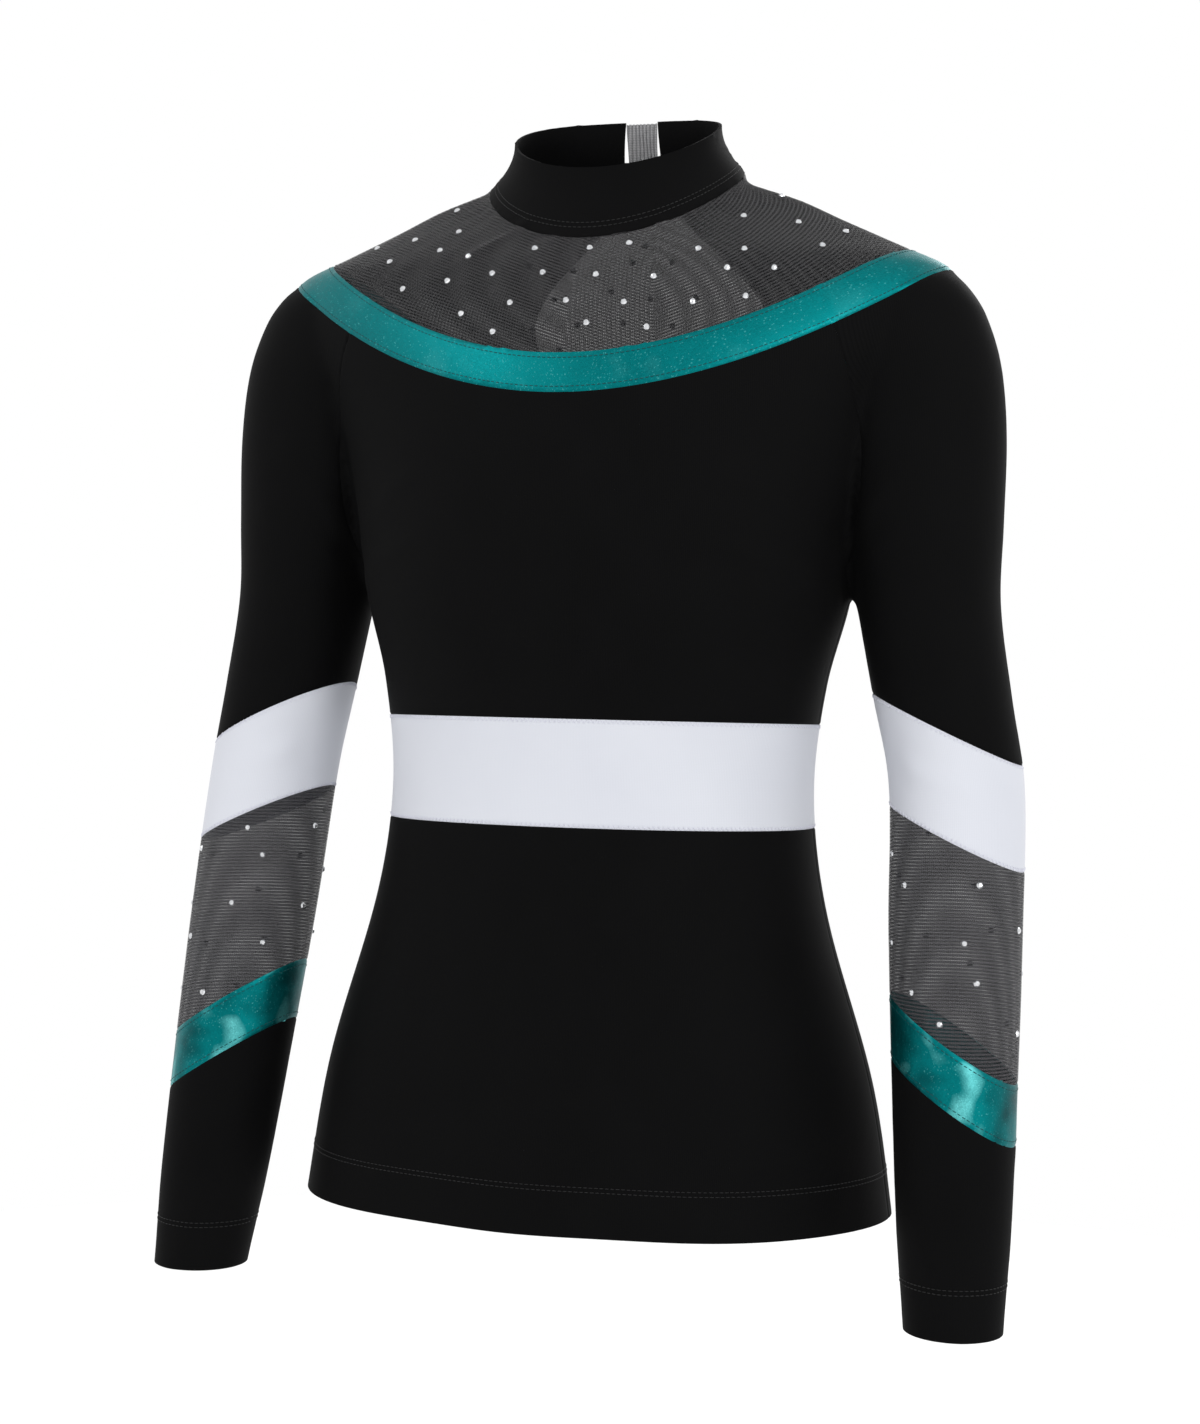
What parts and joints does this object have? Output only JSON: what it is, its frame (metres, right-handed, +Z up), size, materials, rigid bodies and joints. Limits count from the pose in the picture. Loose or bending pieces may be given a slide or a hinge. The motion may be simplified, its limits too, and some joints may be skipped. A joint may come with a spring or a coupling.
{
  "type": "long-sleeved cheer top",
  "caption": "Fitted long-sleeved cheer top with a mock neck, see-through yoke and forearm panels, metallic bands and white waist and elbow bands.",
  "frame": {"origin": "centre of the neck, level with the highest shoulder points beside the collar", "axes": "+Z up along the wearer's spine, -Y towards the wearer's front, +X towards the wearer's left arm"},
  "size_m": [0.489, 0.228, 0.677],
  "materials": {
    "knit": "black stretch knit, matt with a faint sheen",
    "mesh": "black see-through power mesh",
    "lined_mesh": "black power mesh, doubled",
    "gathered": "gathered power mesh, light grey against the light",
    "foil": "teal foil-printed stretch knit, metallic with a fine glitter",
    "white_knit": "matt white stretch knit with a cool cast"
  },
  "bodies": {
    "root": {"back_bodice": "knit", "back_insert": "mesh", "back_yoke": "lined_mesh", "collar": "knit", "front_bodice": "knit", "front_yoke": "mesh", "keyhole_strip": "gathered", "left_sleeve_cap": "knit", "lower_back": "knit", "lower_front": "knit", "right_sleeve_cap": "knit", "waist_band_back": "white_knit", "waist_band_front": "white_knit", "yoke_band_back": "foil", "yoke_band_front": "foil"},
    "left_upper_sleeve": {"left_sleeve_elbow_band": "white_knit", "left_sleeve_upper": "knit"},
    "left_lower_sleeve": {"left_sleeve_cuff": "knit", "left_sleeve_foil_band": "foil", "left_sleeve_mesh": "mesh"},
    "right_upper_sleeve": {"right_sleeve_elbow_band": "white_knit", "right_sleeve_upper": "knit"},
    "right_lower_sleeve": {"right_sleeve_cuff": "knit", "right_sleeve_foil_band": "foil", "right_sleeve_mesh": "mesh"}
  },
  "joints": [
    {"name": "left_shoulder", "type": "hinge", "parent": "root", "child": "left_upper_sleeve", "pos_m": [0.19, 0, -0.24], "axis": [0, -1, 0], "range_deg": [0, 60]},
    {"name": "left_elbow", "type": "hinge", "parent": "left_upper_sleeve", "child": "left_lower_sleeve", "pos_m": [0.204, 0, -0.343], "axis": [-1, 0, 0], "range_deg": [0, 60], "deforming": ["left_sleeve_elbow_band"]},
    {"name": "right_shoulder", "type": "hinge", "parent": "root", "child": "right_upper_sleeve", "pos_m": [-0.19, 0, -0.24], "axis": [0, 1, 0], "range_deg": [0, 60]},
    {"name": "right_elbow", "type": "hinge", "parent": "right_upper_sleeve", "child": "right_lower_sleeve", "pos_m": [-0.204, 0, -0.343], "axis": [-1, 0, 0], "range_deg": [0, 60], "deforming": ["right_sleeve_elbow_band"]}
  ]
}
